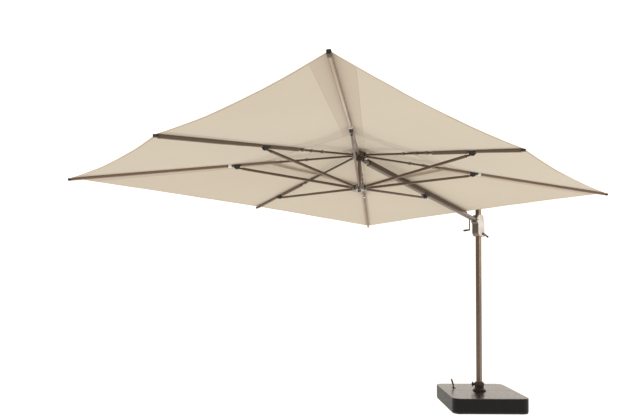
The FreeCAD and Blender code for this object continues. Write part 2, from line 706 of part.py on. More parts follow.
def rib_fittings(name):
    """Tongue, strut bracket, tip cap and, on a corner rib, the fabric collar."""
    bore_y = RIB_W / 2 - RIB_WALL
    bore_z = RIB_H / 2 - RIB_WALL
    tongue = block((0, RIB_START), (-TONGUE / 2, TONGUE / 2), (-RIB_H / 2, RIB_H / 2))
    tongue = tongue.fuse(eye(0, 0, RIB_H / 2, -TONGUE / 2, TONGUE / 2))
    tongue = tongue.fuse(block((RIB_START, RIB_START + 45), (-bore_y, bore_y), (-bore_z, bore_z)))
    tongue = tongue.cut(eye(0, 0, RIB_PIN + RUNNING_FIT, -20, 20)).removeSplitter()
    solids = [tongue] + rib_bracket(name) + [tip_cap(name)]
    if name not in ("north", "south", "west"):
        x = bracket_along(name) + 62.0
        collar = level_bar(x - 14, x + 14, RIB_W + 6, RIB_H + 6, 5.0)
        solids.append(collar.cut(level_bar(x - 14, x + 14, RIB_W, RIB_H, 4.0)))
    return [on_rib(name, solid) for solid in solids]


SADDLE_AT = (HUB_REACH + ARM_PIVOT.x - BRACKET_RADIUS) / math.cos(math.radians(ARM_RISE))
SADDLE_DROP = ARM_H / 2 + 24.0


def saddle_pin():
    """Where the mast-side strut's pin crosses under the arm."""
    rise = math.radians(ARM_RISE)
    along = SADDLE_AT - SADDLE_DROP * math.tan(rise)
    x = ARM_PIVOT.x - along * math.cos(rise) - SADDLE_DROP * math.sin(rise)
    z = ARM_PIVOT.z + along * math.sin(rise) - SADDLE_DROP * math.cos(rise)
    return along, V(x, 0, z)


def east_fittings():
    """The saddle that straddles the arm, its pin, clips for the rib and the tip cap."""
    x = saddle_pin()[0]
    half = ARM_W / 2
    under = ARM_H / 2
    saddle = block((x - 38, x + 38), (-half - 4, half + 4), (-under - 4, 6))
    saddle = saddle.cut(level_bar(x - 40, x + 40, ARM_W, ARM_H, ARM_CORNER))
    saddle = saddle.cut(block((x - 40, x + 40), (-half + 3, half - 3), (-under - 0.1, 30)))
    for side in (-1, 1):
        span = sorted((side * 10.0, side * 14.0))
        ear = swept_plate(
            [(x - 22, -under - 2), (x + 22, -under - 2), (x + 10, -SADDLE_DROP - 9),
             (x - 10, -SADDLE_DROP - 9)],
            *span,
        )
        saddle = saddle.fuse(ear)
    saddle = saddle.cut(eye(x, -SADDLE_DROP, RIB_PIN, -30, 30)).removeSplitter()
    pin = eye(x, -SADDLE_DROP, RIB_PIN, -17.0, 17.0)
    solids = [on_arm(saddle), on_arm(pin), on_rib("east", tip_cap("east"))]
    return solids


def strut(name):
    """A strut from its outer pin to the runner, with an eye at each end."""
    azimuth = RIBS[name][0]
    if name == "east":
        outer = saddle_pin()[1]
    else:
        droop = math.radians(rib_droop(name))
        height = RIB_PIVOT_Z - bracket_along(name) * math.sin(droop)
        height -= BRACKET_DROP * math.cos(droop)
        outer = at_azimuth(BRACKET_RADIUS, azimuth, height)
    inner = at_azimuth(PIVOT_RADIUS, azimuth, STRUT_RING_Z)
    run = outer.sub(inner)
    rise = math.degrees(math.atan2(run.z, math.hypot(run.x, run.y)))
    length = run.Length
    tube = level_tube(42, length - 46, STRUT_W, STRUT_H, 4.0, STRUT_WALL)
    inner_eye = eye(0, 0, 7.0, -STRUT_W / 2, STRUT_W / 2)
    outer_eye = eye(length, 0, 7.0, 0.3 - RIB_W / 2, RIB_W / 2 - 0.3)
    inner_end = block((0, 58), (-6.0, 6.0), (-6.0, 6.0))
    outer_end = block((length - 62, length), (-6.0, 6.0), (-6.0, 6.0))
    inner_seat = block((42, 58), (-6.4, 6.4), (-9.4, 9.4))
    outer_seat = block((length - 62, length - 46), (-6.4, 6.4), (-9.4, 9.4))
    whole = tube.fuse([inner_eye, outer_eye, inner_end, outer_end, inner_seat, outer_seat])
    whole = whole.cut(eye(length, 0, RIB_PIN + RUNNING_FIT, -20, 20)).removeSplitter()
    return placed(whole, inner, azimuth, -rise)


# ----------------------------------------------------------------- canopy
def rib_top(name, share):
    """A point on the fabric's underside above a rib, at a share of its reach."""
    azimuth, radius, tip_z = RIBS[name]
    r = radius * share
    slope = (RIB_PIVOT_Z - tip_z) / (radius - PIVOT_RADIUS)
    z = RIB_PIVOT_Z - (r - PIVOT_RADIUS) * slope + FABRIC_ABOVE_RIB
    return at_azimuth(r, azimuth, z)


def prism_sheet(rows, thickness):
    """A thin closed solid under and over a strip of points, two rows of the same count."""
    lower, upper = [], []
    rise = V(0, 0, thickness)
    near, far = rows
    for k in range(len(near) - 1):
        quad = (near[k], near[k + 1], far[k + 1], far[k])
        for a, b, c in ((quad[0], quad[1], quad[2]), (quad[0], quad[2], quad[3])):
            lower.append(Part.Face(Part.makePolygon([a, b, c, a])))
            upper.append(Part.Face(Part.makePolygon([a + rise, b + rise, c + rise, a + rise])))
    rim = list(near) + list(reversed(far))
    walls = []
    for a, b in zip(rim, rim[1:] + rim[:1]):
        walls.append(Part.Face(Part.makePolygon([a, b, b + rise, a + rise, a])))
    solid = Part.makeSolid(Part.makeShell(lower + upper + walls))
    if solid.Volume < 0:
        solid.reverse()
    return solid


def between(a, b, share):
    return a + (b - a) * share


def gore(name, inner_share, outer_share, height=rib_top):
    """One gore: the fabric over a rib, out to half way to each of its neighbours."""
    names = list(RIBS)
    k = names.index(name)
    rows = []
    for share in (inner_share, outer_share):
        middle = height(name, share)
        row = [middle]
        for neighbour in (names[k - 1], names[(k + 1) % len(names)]):
            other = height(neighbour, share)
            half = between(middle, other, 0.5)
            gap = GORE_GAP / 2 / middle.distanceToPoint(half)
            row.append(between(half, middle, gap))
        rows.append([row[1], row[0], row[2]])
    return prism_sheet(rows, FABRIC)


def vent_cap_height(name, share):
    """A point on the vent cap's underside, which rises to a peak on the hub axis."""
    edge = rib_top(name, VENT_CAP_SHARE) + Z * VENT_CAP_RISE
    peak = HUB_AXIS + Z * VENT_CAP_PEAK_Z
    return between(peak, edge, share / VENT_CAP_SHARE)


def vent_cap():
    """The raised cap over the vent, a shallow pyramid of eight panels with a hole at its peak."""
    names = list(RIBS)
    inner = 0.02
    near = [vent_cap_height(n, inner) for n in names + names[:1]]
    far = [vent_cap_height(n, VENT_CAP_SHARE) for n in names + names[:1]]
    lower, upper, walls = [], [], []
    rise = V(0, 0, FABRIC)
    for k in range(len(names)):
        quad = (near[k], near[k + 1], far[k + 1], far[k])
        for a, b, c in ((quad[0], quad[1], quad[2]), (quad[0], quad[2], quad[3])):
            lower.append(Part.Face(Part.makePolygon([a, b, c, a])))
            upper.append(Part.Face(Part.makePolygon([a + rise, b + rise, c + rise, a + rise])))
        for a, b in ((near[k], near[k + 1]), (far[k], far[k + 1])):
            walls.append(Part.Face(Part.makePolygon([a, b, b + rise, a + rise, a])))
    solid = Part.makeSolid(Part.makeShell(lower + upper + walls))
    if solid.Volume < 0:
        solid.reverse()
    return solid


# ------------------------------------------------------------------ nodes
def main():
    os.makedirs("parts", exist_ok=True)
    base_nodes = {
        "base_tray": [base_tray()],
        "base_cover": [base_cover()],
        "base_frame": [base_frame()],
        "ballast_slabs": ballast_slabs(),
        "base_feet": base_feet(),
        "pedal_bracket": pedal_bracket(),
        "foot_pedal": [foot_pedal()],
    }
    for name, solids in base_nodes.items():
        save(name, *[base_placed(solid) for solid in solids])
    save("mast_collar", mast_collar())
    save("flange_bolts", *flange_bolts())
    save("collar_knob", collar_knob())
    save("mast_spindle", mast_spindle())
    save("mast_tube", mast_tube())
    save("mast_foot", mast_foot())
    save("mast_bushes", *mast_bushes())
    save("mast_cap", mast_cap())
    save("carriage_shell", carriage_shell())
    save("carriage_liners", *carriage_liners())
    save("carriage_pins", *carriage_pins())
    save("crank_shaft", crank_shaft())
    save("crank_knob", crank_knob())
    save("brake_lever", brake_lever())
    save("arm_tube", arm_tube())
    save("arm_knuckles", *arm_knuckles())
    save("upper_hub", upper_hub())
    save("hub_pins", *hub_pins())
    save("hub_post", hub_post())
    save("lower_hub", lower_hub())
    for name in RIBS:
        save(f"rib_tube_{name}", rib_tube(name))
        fittings = east_fittings() if name == "east" else rib_fittings(name)
        save(f"rib_fittings_{name}", *fittings)
        save(f"strut_{name}", strut(name))
        save(f"canopy_{name}", gore(name, VENT_SHARE, 1.0))
    save("vent_cap", vent_cap())


main()
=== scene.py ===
"""Looks for the patio umbrella: its cloth, sleeves, trim and every material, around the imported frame.

Metres, +Z up, the floor at z = 0 and the mast on the Z axis. The arm reaches towards -X.
"""
import json
import math
import bpy
from mathutils import Matrix, Vector, noise


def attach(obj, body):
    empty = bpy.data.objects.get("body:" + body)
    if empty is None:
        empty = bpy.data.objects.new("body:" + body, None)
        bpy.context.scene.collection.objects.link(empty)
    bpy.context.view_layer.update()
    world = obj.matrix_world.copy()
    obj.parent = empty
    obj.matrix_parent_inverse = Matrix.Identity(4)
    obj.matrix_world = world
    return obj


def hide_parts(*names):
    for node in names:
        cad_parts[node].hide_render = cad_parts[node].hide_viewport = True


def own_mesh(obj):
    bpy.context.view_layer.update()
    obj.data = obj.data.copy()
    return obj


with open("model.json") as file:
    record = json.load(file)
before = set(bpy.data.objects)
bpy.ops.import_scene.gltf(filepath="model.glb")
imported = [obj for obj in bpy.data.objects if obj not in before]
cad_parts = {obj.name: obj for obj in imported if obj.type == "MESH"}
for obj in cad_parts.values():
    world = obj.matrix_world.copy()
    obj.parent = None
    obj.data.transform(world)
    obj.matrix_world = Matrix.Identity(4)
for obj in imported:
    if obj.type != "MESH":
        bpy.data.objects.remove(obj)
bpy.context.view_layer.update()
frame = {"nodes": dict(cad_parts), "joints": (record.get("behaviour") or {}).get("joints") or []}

JOINTS = {j["name"]: j for j in frame["joints"]}
UP = Vector((0, 0, 1))

# ------------------------------------------------------------ driving sizes
HALF_LENGTH = 2.0
HALF_WIDTH = 1.5
CORNER_TIP_Z = 2.353
LONG_TIP_Z = 2.366
SHORT_TIP_Z = 2.370
FABRIC_ABOVE_RIB = 0.0128
VENT_SHARE = 0.35
VENT_CAP_SHARE = 0.45
VENT_CAP_PEAK_Z = 2.7025
VENT_CAP_RISE = 0.0265
CROWN_SHARE = 0.055
CLOTH_END_SHARE = 0.991
EDGE_CUT = 0.034
VENT_EDGE_CUT = 0.05
PANEL_SAG = 0.012
VENT_SAG = 0.004
MAIN_ROWS = 46
VENT_ROWS = 18
HEM_WIDTH = 0.016
STITCH_WIDTH = 0.003
BRACKET_RADIUS = 1.1
SLEEVE_HALF_WIDTH = 0.0104
SLEEVE_TOP = 0.0122
SLEEVE_START = 0.76
SLEEVE_DROP = 0.0145
CORNER_SLEEVE_DROP = 0.0098
ARM_SIDE_SLEEVE_DROP = 0.0086
SLEEVE_DEEPENING = 0.5
STRAP_RADII = (0.47, 0.60, 0.70)
STRAP_WIDTH = 0.024
STITCHED_RUN = (1.22, 1.52)
DASH_LENGTH = 0.009
DASH_PITCH = 0.016
BRACKET_HALF_LENGTH = 0.037
BRACKET_WITH_COLLAR = 0.085
TIP_CAP_LENGTH = 0.028
STRUT_END_LENGTH = 0.045

RIB_ORDER = ("east", "northeast", "north", "northwest", "west", "southwest", "south", "southeast")
TIPS = {
    "east": (HALF_LENGTH, 0.0, LONG_TIP_Z),
    "northeast": (HALF_LENGTH, HALF_WIDTH, CORNER_TIP_Z),
    "north": (0.0, HALF_WIDTH, SHORT_TIP_Z),
    "northwest": (-HALF_LENGTH, HALF_WIDTH, CORNER_TIP_Z),
    "west": (-HALF_LENGTH, 0.0, LONG_TIP_Z),
    "southwest": (-HALF_LENGTH, -HALF_WIDTH, CORNER_TIP_Z),
    "south": (0.0, -HALF_WIDTH, SHORT_TIP_Z),
    "southeast": (HALF_LENGTH, -HALF_WIDTH, CORNER_TIP_Z),
}
CORNERS = ("northeast", "northwest", "southwest", "southeast")
# how far the band of painted shade reaches each side of a rib
BAND_WIDTHS = {name: 0.104 for name in CORNERS}
BAND_WIDTHS.update(northeast=0.04, west=0.085, east=0.05, north=0.05, south=0.05)

north_pivot = Vector(JOINTS["fold_north"]["pos_m"])
HUB_AXIS = Vector((north_pivot.x, 0, 0))
PIVOT_RADIUS = north_pivot.y
RIB_PIVOT_Z = north_pivot.z


def rib_body(name):
    return "arm" if name == "east" else f"rib_{name}"


def outward(name):
    """Level unit vector from the hub along a rib."""
    x, y, _ = TIPS[name]
    return Vector((x, y, 0)).normalized()


def sideways(name):
    """Level unit vector across a rib."""
    return UP.cross(outward(name))


def reach(name):
    x, y, _ = TIPS[name]
    return math.hypot(x, y)


def rib_axis(name, radius):
    """The rib's middle line at a radius from the hub axis."""
    slope = (RIB_PIVOT_Z - TIPS[name][2]) / (reach(name) - PIVOT_RADIUS)
    z = RIB_PIVOT_Z - (radius - PIVOT_RADIUS) * slope
    return HUB_AXIS + outward(name) * radius + UP * z


def smooth(t):
    t = min(1.0, max(0.0, t))
    return t * t * (3 - 2 * t)


# ----------------------------------------------------------- camera, light
CAMERA_AT = (-5.773, -2.876, 1.343)
CAMERA_YAW = 0.7834
CAMERA_ROLL = -0.0053
LENS_MM = 28.12
SHIFT_Y = 0.1416
# the cosine of the angle from the camera's line at which the backdrop is dim or full, and how bright
WORLD_FALL = {"From Min": 0.15, "From Max": 0.7, "To Min": 0.20, "To Max": 1.3}
FLOOR_SIZE = 60.0
FLOOR_GLOW = 1.20


def make_camera():
    forward = Vector((math.cos(CAMERA_YAW), math.sin(CAMERA_YAW), 0))
    right = forward.cross(UP)
    tilted_right = right * math.cos(CAMERA_ROLL) + UP * math.sin(CAMERA_ROLL)
    tilted_up = UP * math.cos(CAMERA_ROLL) - right * math.sin(CAMERA_ROLL)
    data = bpy.data.cameras.new("camera")
    data.lens = LENS_MM
    data.sensor_width = 36
    data.shift_y = SHIFT_Y
    camera = bpy.data.objects.new("camera", data)
    turn = Matrix((tilted_right, tilted_up, -forward)).transposed().to_4x4()
    camera.matrix_world = Matrix.Translation(CAMERA_AT) @ turn
    bpy.context.scene.collection.objects.link(camera)
    bpy.context.scene.camera = camera


def area_light(name, at, towards, size, power, colour):
    data = bpy.data.lights.new(name, "AREA")
    data.shape = "RECTANGLE"
    data.size, data.size_y = size
    data.energy = power
    data.color = colour
    lamp = bpy.data.objects.new(name, data)
    lamp.location = at
    lamp.rotation_euler = (Vector(towards) - Vector(at)).to_track_quat("-Z", "Y").to_euler()
    lamp.visible_camera = False
    bpy.context.scene.collection.objects.link(lamp)


# --------------------------------------------------------------- materials
def new_material(name):
    material = bpy.data.materials.new(name)
    material.use_nodes = True
    tree = material.node_tree
    tree.nodes.clear()
    output = tree.nodes.new("ShaderNodeOutputMaterial")
    return material, tree, output


class Nodes:
    """A short way to add and join shader nodes."""

    def __init__(self, name):
        self.material, self.tree, self.output = new_material(name)

    def add(self, kind, inputs=None, **settings):
        node = self.tree.nodes.new("ShaderNode" + kind)
        for key, value in settings.items():
            setattr(node, key, value)
        for key, value in (inputs or {}).items():
            socket = node.inputs[key]
            if isinstance(value, bpy.types.NodeSocket):
                self.tree.links.new(value, socket)
            else:
                socket.default_value = value
        return node

    def position(self, scale=(1, 1, 1)):
        """Object coordinates, scaled."""
        coordinates = self.add("TexCoord")
        mapping = self.add("Mapping", {"Vector": coordinates.outputs["Object"], "Scale": scale})
        return mapping.outputs["Vector"]

    def noise(self, where, scale, detail):
        node = self.add(
            "TexNoise", {"Vector": where, "Scale": scale, "Detail": detail, "Roughness": 0.5}
        )
        return node.outputs["Fac"]

    def ramp(self, factor, stops):
        node = self.add("ValToRGB", {"Fac": factor})
        points = node.color_ramp.elements
        while len(points) < len(stops):
            points.new(0.5)
        for point, (place, colour) in zip(points, stops):
            point.position = place
            point.color = (*colour, 1)
        return node.outputs["Color"]

    def range(self, value, low, high, from_low=0.0, from_high=1.0):
        node = self.add(
            "MapRange",
            {
                "Value": value, "From Min": from_low, "From Max": from_high,
                "To Min": low, "To Max": high,
            },
        )
        return node.outputs["Result"]

    def math(self, operation, a, b=0.0):
        node = self.add("Math", operation=operation)
        for k, value in enumerate((a, b)):
            if isinstance(value, bpy.types.NodeSocket):
                self.tree.links.new(value, node.inputs[k])
            else:
                node.inputs[k].default_value = value
        return node.outputs[0]

    def mix(self, factor, a, b):
        node = self.add("Mix", data_type="RGBA")
        for key, value in ((0, factor), (6, a), (7, b)):
            if isinstance(value, bpy.types.NodeSocket):
                self.tree.links.new(value, node.inputs[key])
            else:
                node.inputs[key].default_value = value if key == 0 else (*value, 1)
        return node.outputs[2]

    def bump(self, height, strength, distance, normal=None):
        inputs = {"Height": height, "Strength": strength, "Distance": distance}
        if normal:
            inputs["Normal"] = normal
        return self.add("Bump", inputs).outputs["Normal"]

    def finish(self, shader):
        self.tree.links.new(shader, self.output.inputs["Surface"])
        return self.material


WEAVE_SCALE = 1500.0 / 6.3


def painted_metal(name, dark, light, roughness=0.34, metallic=0.55, coat=0.25):
    """Powder-coated metal: fine orange peel, soft mottling and paler worn edges."""
    n = Nodes(name)
    where = n.position()
    mottle = n.noise(where, 9.0, 4.0)
    speck = n.noise(where, 900.0, 2.0)
    colour = n.ramp(mottle, [(0.3, dark), (0.72, light)])
    edge = n.add("NewGeometry").outputs["Pointiness"]
    worn = n.range(edge, 0.0, 0.5, 0.53, 0.62)
    colour = n.mix(worn, colour, tuple(min(1.0, c * 2.2) for c in light))
    rough = n.range(n.noise(where, 40.0, 3.0), roughness - 0.07, roughness + 0.09)
    normal = n.bump(speck, 0.12, 0.0004)
    shader = n.add(
        "BsdfPrincipled",
        {
            "Base Color": colour, "Roughness": rough, "Metallic": metallic, "Normal": normal,
            "Coat Weight": coat, "Coat Roughness": 0.25,
        },
    )
    return n.finish(shader.outputs[0])


def moulded_plastic(
    name, dark, light, roughness=0.5, grain=500.0, depth=0.0005, relief=0.25, shine=0.5
):
    """Moulded plastic with a fine pebbled grain and a little dust in it."""
    n = Nodes(name)
    where = n.position()
    grain_height = n.add("TexVoronoi", {"Vector": where, "Scale": grain}).outputs["Distance"]
    colour = n.ramp(n.noise(where, 5.0, 4.0), [(0.3, dark), (0.75, light)])
    rough = n.range(n.noise(where, 22.0, 3.0), roughness - 0.08, roughness + 0.1)
    normal = n.bump(grain_height, relief, depth)
    shader = n.add(
        "BsdfPrincipled",
        {
            "Base Color": colour, "Roughness": rough, "Normal": normal, "Specular IOR Level": shine,
        },
    )
    return n.finish(shader.outputs[0])


def woven_fabric(name, base, shade, through, weight):
    """Canopy cloth: a plain weave, slight slubs and dust, and light that comes through it."""
    n = Nodes(name)
    where = n.position()
    warp = n.add("TexWave", {"Vector": where, "Scale": WEAVE_SCALE}, bands_direction="X")
    weft = n.add("TexWave", {"Vector": where, "Scale": WEAVE_SCALE}, bands_direction="Y")
    weave = n.math("MULTIPLY", warp.outputs["Fac"], weft.outputs["Fac"])
    slub = n.noise(n.position((2.0, 60.0, 2.0)), 6.0, 3.0)
    cloud = n.noise(where, 1.3, 4.0)
    tone = n.math("ADD", n.math("MULTIPLY", slub, 0.35), n.math("MULTIPLY", cloud, 0.65))
    colour = n.ramp(tone, [(0.3, shade), (0.7, base)])
    normal = n.bump(weave, 0.15, 0.0003, n.bump(slub, 0.15, 0.0008))
    front = n.add(
        "BsdfPrincipled",
        {
            "Base Color": colour, "Roughness": 0.85, "Normal": normal,
            "Sheen Weight": 0.25, "Sheen Roughness": 0.5,
        },
    )
    glow = n.add("BsdfTranslucent", {"Color": (*through, 1), "Normal": normal})
    mixed = n.add("MixShader", {"Fac": weight})
    n.tree.links.new(front.outputs[0], mixed.inputs[1])
    n.tree.links.new(glow.outputs[0], mixed.inputs[2])
    return n.finish(mixed.outputs[0])


CANVAS = woven_fabric("canvas", (0.575, 0.515, 0.420), (0.545, 0.485, 0.395), (0.68, 0.59, 0.46), 0.22)
# painted shade: a darker copy of the canvas for a band along each rib and for the vent crown
CANVAS_PAINTED_SHADE = woven_fabric(
    "canvas_painted_shade", (0.495, 0.425, 0.338), (0.470, 0.402, 0.318), (0.57, 0.46, 0.345), 0.12
)
SLEEVE = woven_fabric(
    "sleeve_cloth", (0.15, 0.105, 0.072), (0.115, 0.08, 0.056), (0.2, 0.12, 0.07), 0.05
)
# painted light: a lighter copy of the sleeve cloth for the corner ribs
CORNER_SLEEVE_PAINTED_LIGHT = woven_fabric(
    "corner_sleeve_painted_light", (0.23, 0.158, 0.110), (0.195, 0.133, 0.092), (0.25, 0.15, 0.09), 0.05
)
TAPE = woven_fabric("webbing_tape", (0.50, 0.415, 0.32), (0.45, 0.37, 0.285), (0.5, 0.4, 0.3), 0.05)
STITCHED = woven_fabric(
    "stitched_canvas", (0.440, 0.370, 0.285), (0.41, 0.34, 0.26), (0.52, 0.41, 0.29), 0.12
)
THREAD = woven_fabric("thread", (0.30, 0.22, 0.15), (0.22, 0.16, 0.11), (0.3, 0.2, 0.1), 0.05)
BRONZE = painted_metal("bronze_paint", (0.080, 0.052, 0.037), (0.108, 0.072, 0.052))
# painted shade: a darker copy of the bronze paint for the arm, upper hub and rib tubes, which sit in
# the canopy's shade
BRONZE_PAINTED_SHADE = painted_metal("dark_bronze_paint", (0.046, 0.030, 0.021), (0.064, 0.042, 0.030))
HOUSING = painted_metal("housing_paint", (0.12, 0.10, 0.082), (0.16, 0.132, 0.108), metallic=0.35)
# painted light: a much paler copy of the housing paint for the side faces that the strong light from
# the right strikes
HOUSING_SIDES_PAINTED_LIGHT = painted_metal(
    "housing_sides_painted_light", (0.40, 0.37, 0.335), (0.46, 0.43, 0.39), metallic=0.2
)
DARK_STEEL = painted_metal("dark_steel", (0.04, 0.028, 0.022), (0.065, 0.046, 0.036), roughness=0.45)
HUB_METAL = painted_metal("hub_metal", (0.10, 0.09, 0.08), (0.16, 0.145, 0.13), roughness=0.38)
STEEL = painted_metal("bright_steel", (0.45, 0.45, 0.46), (0.6, 0.6, 0.6), 0.3, 1.0, 0.0)
BLACK = moulded_plastic("black_nylon", (0.019, 0.016, 0.014), (0.033, 0.028, 0.024))
WHITE = moulded_plastic("white_nylon", (0.72, 0.71, 0.69), (0.82, 0.81, 0.8), 0.35)
LINER = moulded_plastic("liner_nylon", (0.55, 0.54, 0.5), (0.65, 0.64, 0.6), 0.45)
RUBBER = moulded_plastic("foot_rubber", (0.01, 0.01, 0.01), (0.02, 0.02, 0.02), 0.8)
STONE = moulded_plastic("ballast_stone", (0.3, 0.29, 0.27), (0.5, 0.49, 0.46), 0.85, 150.0, 0.002)
COVER = moulded_plastic(
    "base_cover_plastic", (0.014, 0.012, 0.011), (0.019, 0.016, 0.014), 0.25, 700.0, 0.00005, 0.01, 1.0
)
# painted shade: a darker, less shiny copy of the cover plastic for its sides, while the top keeps its
# shine
COVER_SIDES_PAINTED_SHADE = moulded_plastic(
    "base_cover_sides_painted_shade", (0.009, 0.0088, 0.009), (0.012, 0.0116, 0.012), 0.4, 700.0, 0.00005, 0.03, 0.18
)

CAD_LOOKS = {
    "base_cover": COVER, "base_tray": BLACK, "base_feet": RUBBER, "ballast_slabs": STONE,
    "base_frame": DARK_STEEL, "pedal_bracket": DARK_STEEL, "foot_pedal": BLACK,
    "mast_collar": DARK_STEEL, "flange_bolts": DARK_STEEL, "collar_knob": BLACK,
    "mast_spindle": STEEL, "mast_tube": BRONZE, "mast_foot": DARK_STEEL, "mast_bushes": LINER,
    "mast_cap": BLACK, "carriage_shell": HOUSING, "carriage_liners": LINER,
    "carriage_pins": DARK_STEEL, "crank_shaft": DARK_STEEL, "crank_knob": BLACK,
    "brake_lever": BLACK, "arm_tube": BRONZE_PAINTED_SHADE, "arm_knuckles": HUB_METAL,
    "upper_hub": BRONZE_PAINTED_SHADE, "hub_pins": DARK_STEEL, "hub_post": BRONZE, "lower_hub": HUB_METAL,
}
FAMILY_LOOKS = {"rib_fittings": BLACK, "rib_tube": BRONZE_PAINTED_SHADE}


def blacken_end(node, name):
    """A strut's outer end fitting is black and the rest is painted."""
    node.data.materials.append(BLACK)
    places = [(node.matrix_world @ p.center - HUB_AXIS).dot(outward(name)) for p in node.data.polygons]
    high = max(places)
    for polygon, place in zip(node.data.polygons, places):
        polygon.material_index = int(place > high - STRUT_END_LENGTH)


def light_or_shade_faces(name, look, chosen):
    """Painted light or shade: a second look on the faces whose normal is chosen."""
    mesh = frame["nodes"][name].data
    mesh.materials.append(look)
    for polygon in mesh.polygons:
        polygon.material_index = int(chosen(polygon.normal))


def paint_frame():
    for name, node in frame["nodes"].items():
        family = "_".join(name.split("_")[:2])
        look = CAD_LOOKS.get(name) or FAMILY_LOOKS.get(family, BRONZE)
        node.data.materials.clear()
        node.data.materials.append(look)
        if name.startswith("strut_"):
            blacken_end(node, name.removeprefix("strut_"))
    # painted light on the housing's side faces
    light_or_shade_faces("carriage_shell", HOUSING_SIDES_PAINTED_LIGHT, lambda normal: abs(normal.y) > 0.7)
    # painted shade on the base cover's sides
    light_or_shade_faces("base_cover", COVER_SIDES_PAINTED_SHADE, lambda normal: normal.z < 0.4)


# ------------------------------------------------------------ mesh helpers
def add_mesh(name, vertices, faces, materials, smooth_faces=True):
    mesh = bpy.data.meshes.new(name)
    mesh.from_pydata([tuple(v) for v in vertices], [], faces)
    for material in materials:
        mesh.materials.append(material)
    if smooth_faces:
        mesh.polygons.foreach_set("use_smooth", [True] * len(mesh.polygons))
    mesh.update()
    piece = bpy.data.objects.new(name, mesh)
    bpy.context.scene.collection.objects.link(piece)
    return piece


def grid_faces(rows, columns, start=0):
    faces = []
    for r in range(rows - 1):
        for c in range(columns - 1):
            a = start + r * columns + c
            faces.append((a, a + 1, a + columns + 1, a + columns))
    return faces


# ------------------------------------------------------------------ canopy
BAND_COLUMNS = 4
OPEN_COLUMNS = 8
# slot 1 is painted shade: the darker band along the rib
PAINTED_SHADE_SLOT, STITCH_SLOT = 1, 2  # material slots of a gore; slot 0 is the plain canvas


def fabric_on_rib(name, share):
    return rib_axis(name, reach(name) * share) + UP * FABRIC_ABOVE_RIB


def vent_cap_on_rib(name, share):
    edge = fabric_on_rib(name, VENT_CAP_SHARE) + UP * VENT_CAP_RISE
    peak = HUB_AXIS + UP * VENT_CAP_PEAK_Z
    return peak.lerp(edge, share / VENT_CAP_SHARE)


def panel_point(name, other, t, share, shape):
    """A point of the cloth between two ribs: t of the way across, at a share of their reach."""
    on_rib, inner, outer, cut, sag = shape
    across = 4 * t * (1 - t)
    u = (share - inner) / (outer - inner)
    pulled = share - (outer - inner) * cut * across * smooth(u) * u
    point = on_rib(name, pulled).lerp(on_rib(other, pulled), t)
    # the cloth hangs most near the middle and again a little at its free edge
    point.z -= sag * across * (math.sin(math.pi * (0.12 + 0.88 * u)) + smooth(u) * u)
    flow = noise.noise(Vector((point.x * 1.7, point.y * 1.7, 0.3)))
    pleat = noise.noise(Vector((t * 9.0, share * 1.6, RIB_ORDER.index(name) * 3.1)))
    point.z += across * (0.0035 * flow + 0.0022 * pleat)
    return point


def half_columns(name, other, share, on_rib):
    """Places across half a panel: four in the band of painted shade, its stitch line, then open cloth.
    """
    row = on_rib(other, share) - on_rib(name, share)
    square_width = abs(row.dot(sideways(name)))
    taper = 0.55 + 0.45 * share
    band_end = min(0.40, BAND_WIDTHS[name] * taper / square_width)
    stitch = min(0.04, STITCH_WIDTH / square_width)
    places = [band_end * k / (BAND_COLUMNS - 1) - (stitch if k else 0) for k in range(BAND_COLUMNS)]
    places.append(band_end)
    for k in range(1, OPEN_COLUMNS + 1):
        places.append(band_end + (0.5 - band_end) * k / OPEN_COLUMNS)
    return places


def row_places(name, inner, outer, rows):
    """Rows from the inner hem to the outer one, with a stitch line at each hem."""
    hem = HEM_WIDTH / reach(name)
    stitch = STITCH_WIDTH / reach(name)
    first = inner + hem + stitch
    last = outer - hem - stitch
    places = [inner, inner + hem]
    places += [first + (last - first) * r / (rows - 1) for r in range(rows)]
    return places + [outer - hem, outer]


def gore(piece_name, name, shape, rows, band_cloth):
    """The cloth over one rib, out to half way to each of its neighbours."""
    k = RIB_ORDER.index(name)
    before = RIB_ORDER[k - 1]
    after = RIB_ORDER[(k + 1) % len(RIB_ORDER)]
    on_rib, inner, outer = shape[:3]
    shares = row_places(name, inner, outer, rows)
    points = []
    for share in shares:
        for t in reversed(half_columns(name, before, share, on_rib)[1:]):
            points.append(panel_point(before, name, 1 - t, share, shape))
        for t in half_columns(name, after, share, on_rib):
            points.append(panel_point(name, after, t, share, shape))
    side = BAND_COLUMNS + OPEN_COLUMNS
    columns = 2 * side + 1
    piece = add_mesh(
        piece_name, points, grid_faces(len(shares), columns), [CANVAS, band_cloth, STITCHED]
    )
    last = len(shares) - 2
    for number, polygon in enumerate(piece.data.polygons):
        r, c = divmod(number, columns - 1)
        from_rib = c - side if c >= side else side - 1 - c
        if r <= 1 or r >= last - 1 or from_rib == BAND_COLUMNS - 1:
            polygon.material_index = STITCH_SLOT
        elif from_rib < BAND_COLUMNS - 1:
            polygon.material_index = PAINTED_SHADE_SLOT
    return piece


def gather(piece, name):
    """The piece rides on a rib, with a mesh of its own."""
    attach(piece, rib_body(name))
    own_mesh(piece)


def crown():
    """The middle of the vent cap, under its finial."""
    points = [HUB_AXIS + UP * VENT_CAP_PEAK_Z]
    rings = 4
    for ring in range(1, rings + 1):
        for name in RIB_ORDER:
            points.append(vent_cap_on_rib(name, CROWN_SHARE * ring / rings))
    faces = [(0, 1 + k, 1 + (k + 1) % 8) for k in range(8)]
    for ring in range(rings - 1):
        low = 1 + 8 * ring
        for k in range(8):
            after = (k + 1) % 8
            faces.append((low + k, low + 8 + k, low + 8 + after, low + after))
    # painted shade: the crown is drawn in the darker band canvas
    piece = add_mesh("vent_crown", points, faces, [CANVAS_PAINTED_SHADE])
    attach(piece, "hub")
    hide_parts("vent_cap")


